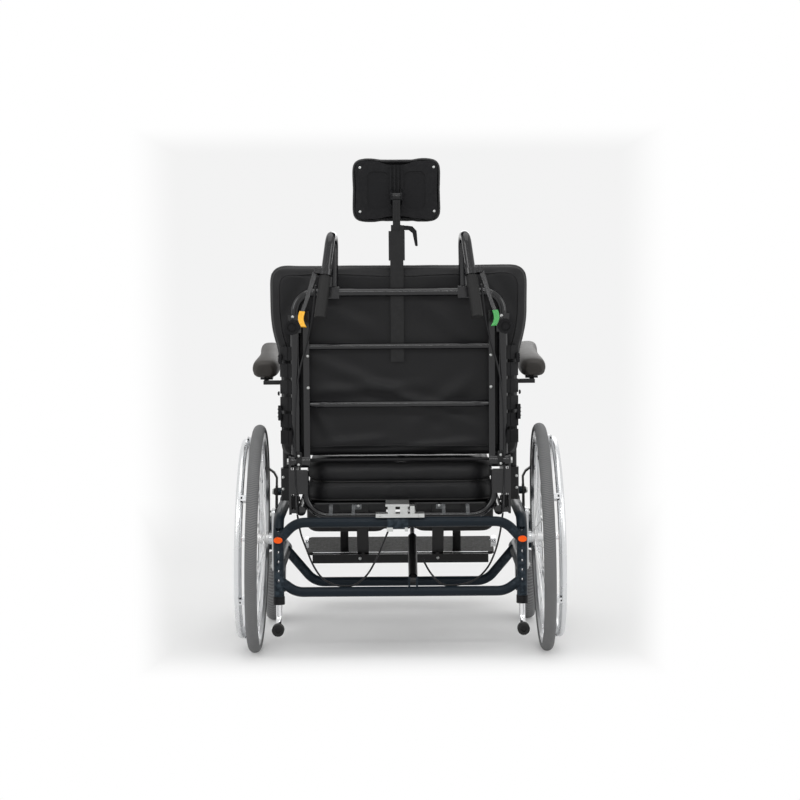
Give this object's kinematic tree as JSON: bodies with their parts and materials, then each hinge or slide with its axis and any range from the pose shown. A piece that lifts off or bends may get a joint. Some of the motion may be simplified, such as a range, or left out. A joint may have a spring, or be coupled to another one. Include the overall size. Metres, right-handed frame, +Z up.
{
  "type": "tilt in space wheelchair",
  "caption": "Wide manual wheelchair whose seat tilts as a whole on the rear cross tube; reclining back, headrest, height-adjustable push bar, elevating legrest, brakes and anti-tippers.",
  "frame": {"origin": "on the floor, under the middle of the chair's overall box", "axes": "+Y the way the chair drives, +X the user's right, +Z up"},
  "size_m": [0.8674, 1.1119, 1.3158],
  "materials": {
    "frame_paint": "satin slate-blue powder coat",
    "black_paint": "satin black powder coat",
    "black_tube": "gloss black powder coat",
    "silver_alloy": "bright anodised",
    "zinc": "zinc plated",
    "chrome": "chrome plated",
    "steel": "bare steel",
    "tyre": "grey-black, fine tread",
    "caster_tyre": "solid grey tyre on a plastic centre",
    "rubber": "soft black rubber",
    "black_plastic": "moulded, matt",
    "orange_plastic": "gloss orange",
    "yellow_plastic": "black blade with a yellow tip",
    "green_plastic": "black blade with a green tip",
    "upholstery": "black stretch fabric over foam",
    "vinyl": "black coated fabric, smooth",
    "arm_pad": "dark brownish-grey moulded foam skin",
    "webbing": "woven strap",
    "tread_plate": "textured dark grey",
    "cable_sheath": "smooth black cable housing"
  },
  "bodies": {
    "chassis": {"side_frame_left": "frame_paint", "side_frame_right": "frame_paint", "rear_cross_tube": "frame_paint", "lower_cross_tubes": "frame_paint", "axle_receivers": "silver_alloy", "upright_collars": "black_plastic", "release_cables_frame": "cable_sheath"},
    "rear_wheel_left": {"rear_tyre_left": "tyre", "rear_rim_left": "silver_alloy", "rear_hub_left": "steel", "hand_rim_left": "silver_alloy"},
    "caster_fork_left": {"caster_fork_left": "frame_paint"},
    "caster_wheel_left": {"caster_wheel_left": "caster_tyre"},
    "anti_tipper_left": {"anti_tipper_tube_left": "chrome", "anti_tipper_tip_left": "rubber"},
    "release_button_left": {"release_button_left": "orange_plastic"},
    "brake_left": {"brake_lever_left": "black_paint"},
    "rear_wheel_right": {"rear_tyre_right": "tyre", "rear_rim_right": "silver_alloy", "rear_hub_right": "steel", "hand_rim_right": "silver_alloy"},
    "caster_fork_right": {"caster_fork_right": "frame_paint"},
    "caster_wheel_right": {"caster_wheel_right": "caster_tyre"},
    "anti_tipper_right": {"anti_tipper_tube_right": "chrome", "anti_tipper_tip_right": "rubber"},
    "release_button_right": {"release_button_right": "orange_plastic"},
    "brake_right": {"brake_lever_right": "black_paint"},
    "seat": {"seat_frame": "black_tube", "tilt_bearing": "zinc", "seat_cushion": "upholstery", "side_guards": "black_plastic", "armrest_sockets": "black_paint", "release_cables_seat": "cable_sheath"},
    "backrest": {"back_frame": "black_paint", "back_straps": "webbing", "back_cushion": "upholstery", "headrest_mount": "black_paint", "release_cables_back": "cable_sheath"},
    "push_bar": {"push_bar": "black_tube", "push_handles": "black_tube", "handle_grips": "rubber"},
    "headrest_stem": {"headrest_stem": "black_paint"},
    "headrest": {"headrest_shell": "black_plastic", "headrest_pad": "vinyl"},
    "headrest_lever": {"headrest_lever": "black_plastic"},
    "legrest": {"legrest_frame": "black_paint", "calf_pads": "vinyl"},
    "footboard": {"footboard": "tread_plate"},
    "tilt_spring_cylinder": {"tilt_spring_cylinder": "black_paint"},
    "tilt_spring_rod": {"tilt_spring_rod": "steel"},
    "recline_spring_cylinder": {"recline_spring_cylinder": "black_paint"},
    "recline_spring_rod": {"recline_spring_rod": "steel"},
    "armrest_left": {"armrest_post_left": "black_paint", "armrest_pad_left": "arm_pad"},
    "height_knob_left": {"height_knob_left": "black_plastic"},
    "release_lever_left": {"release_lever_left": "yellow_plastic"},
    "armrest_right": {"armrest_post_right": "black_paint", "armrest_pad_right": "arm_pad"},
    "height_knob_right": {"height_knob_right": "black_plastic"},
    "release_lever_right": {"release_lever_right": "green_plastic"}
  },
  "joints": [
    {"name": "rear_wheel_left_spin", "type": "hinge", "parent": "chassis", "child": "rear_wheel_left", "pos_m": [-0.382, -0.251, 0.3049], "axis": [-0.9997, 0, 0.0262], "continuous": true},
    {"name": "caster_left_swivel", "type": "hinge", "parent": "chassis", "child": "caster_fork_left", "pos_m": [-0.368, 0.294, 0.25], "axis": [0, 0, 1], "continuous": true},
    {"name": "caster_left_roll", "type": "hinge", "parent": "caster_fork_left", "child": "caster_wheel_left", "pos_m": [-0.368, 0.249, 0.1], "axis": [1, 0, 0], "continuous": true},
    {"name": "anti_tipper_left_slide", "type": "slide", "parent": "chassis", "child": "anti_tipper_left", "axis": [0, 0, -1], "range_m": [0, 0.058]},
    {"name": "release_button_left_press", "type": "slide", "parent": "chassis", "child": "release_button_left", "axis": [0, 1, 0], "range_m": [0, 0.003], "stiffness_N_per_m": 600, "springref_m": -0.001},
    {"name": "brake_left_turn", "type": "hinge", "parent": "chassis", "child": "brake_left", "pos_m": [-0.349, 0.094, 0.392], "axis": [-1, 0, 0], "range_deg": [0, 13]},
    {"name": "rear_wheel_right_spin", "type": "hinge", "parent": "chassis", "child": "rear_wheel_right", "pos_m": [0.382, -0.251, 0.3049], "axis": [0.9997, 0, 0.0262], "continuous": true},
    {"name": "caster_right_swivel", "type": "hinge", "parent": "chassis", "child": "caster_fork_right", "pos_m": [0.368, 0.294, 0.25], "axis": [0, 0, 1], "continuous": true},
    {"name": "caster_right_roll", "type": "hinge", "parent": "caster_fork_right", "child": "caster_wheel_right", "pos_m": [0.368, 0.249, 0.1], "axis": [1, 0, 0], "continuous": true},
    {"name": "anti_tipper_right_slide", "type": "slide", "parent": "chassis", "child": "anti_tipper_right", "axis": [0, 0, -1], "range_m": [0, 0.058]},
    {"name": "release_button_right_press", "type": "slide", "parent": "chassis", "child": "release_button_right", "axis": [0, 1, 0], "range_m": [0, 0.003], "stiffness_N_per_m": 600, "springref_m": -0.001},
    {"name": "brake_right_turn", "type": "hinge", "parent": "chassis", "child": "brake_right", "pos_m": [0.349, 0.094, 0.392], "axis": [-1, 0, 0], "range_deg": [0, 13]},
    {"name": "seat_tilt", "type": "hinge", "parent": "chassis", "child": "seat", "pos_m": [0, -0.371, 0.362], "axis": [1, 0, 0], "range_deg": [0, 20]},
    {"name": "backrest_recline", "type": "hinge", "parent": "seat", "child": "backrest", "pos_m": [0, -0.296, 0.516], "axis": [1, 0, 0], "range_deg": [0, 30]},
    {"name": "push_bar_height", "type": "slide", "parent": "backrest", "child": "push_bar", "axis": [0, 0, 1], "range_m": [0, 0.15]},
    {"name": "headrest_height", "type": "slide", "parent": "backrest", "child": "headrest_stem", "axis": [0, 0, 1], "range_m": [0, 0.05]},
    {"name": "headrest_angle", "type": "hinge", "parent": "headrest_stem", "child": "headrest", "pos_m": [-0.004, -0.2625, 1.215], "axis": [1, 0, 0], "range_deg": [-18, 20]},
    {"name": "headrest_lever_turn", "type": "hinge", "parent": "backrest", "child": "headrest_lever", "pos_m": [0.016, -0.2625, 1.132], "axis": [0, -1, 0], "range_deg": [0, 70]},
    {"name": "legrest_angle", "type": "hinge", "parent": "seat", "child": "legrest", "pos_m": [0, 0.201, 0.385], "axis": [1, 0, 0], "range_deg": [0, 60]},
    {"name": "footboard_fold", "type": "hinge", "parent": "legrest", "child": "footboard", "pos_m": [0, 0.421, 0.162], "axis": [1, 0, 0], "range_deg": [0, 65]},
    {"name": "tilt_spring_swing", "type": "hinge", "parent": "chassis", "child": "tilt_spring_cylinder", "pos_m": [0.033, -0.371, 0.207], "axis": [1, 0, 0], "range_deg": [0, 17]},
    {"name": "tilt_spring_stroke", "type": "slide", "parent": "tilt_spring_cylinder", "child": "tilt_spring_rod", "axis": [0, 0.9432, 0.3324], "range_m": [0, 0.048]},
    {"name": "recline_spring_swing", "type": "hinge", "parent": "seat", "child": "recline_spring_cylinder", "pos_m": [-0.2725, -0.011, 0.44], "axis": [1, 0, 0], "range_deg": [-2.2, 0]},
    {"name": "recline_spring_stroke", "type": "slide", "parent": "recline_spring_cylinder", "child": "recline_spring_rod", "axis": [0, -0.9973, 0.0735], "range_m": [-0.027, 0]},
    {"name": "armrest_left_height", "type": "slide", "parent": "seat", "child": "armrest_left", "axis": [0, 0, 1], "range_m": [0, 0.06]},
    {"name": "height_knob_left_turn", "type": "hinge", "parent": "backrest", "child": "height_knob_left", "pos_m": [-0.28, -0.334, 0.873], "axis": [0, -1, 0], "continuous": true},
    {"name": "release_lever_left_squeeze", "type": "hinge", "parent": "push_bar", "child": "release_lever_left", "pos_m": [-0.21317, -0.39483, 1.01962], "axis": [0, -0.9537, 0.3009], "range_deg": [0, 12], "stiffness_Nm_per_rad": 2, "springref_deg": -2.86},
    {"name": "armrest_right_height", "type": "slide", "parent": "seat", "child": "armrest_right", "axis": [0, 0, 1], "range_m": [0, 0.06]},
    {"name": "height_knob_right_turn", "type": "hinge", "parent": "backrest", "child": "height_knob_right", "pos_m": [0.28, -0.334, 0.873], "axis": [0, -1, 0], "continuous": true},
    {"name": "release_lever_right_squeeze", "type": "hinge", "parent": "push_bar", "child": "release_lever_right", "pos_m": [0.21317, -0.39483, 1.01962], "axis": [0, 0.9537, -0.3009], "range_deg": [0, 12], "stiffness_Nm_per_rad": 2, "springref_deg": -2.86}
  ],
  "couplings": [
    {"joint": "tilt_spring_swing", "follows": "seat_tilt", "ratio": 0.84629},
    {"joint": "tilt_spring_stroke", "follows": "seat_tilt", "m_per_rad": 0.13637},
    {"joint": "recline_spring_swing", "follows": "backrest_recline", "ratio": -0.06909},
    {"joint": "recline_spring_stroke", "follows": "backrest_recline", "m_per_rad": -0.05102}
  ]
}
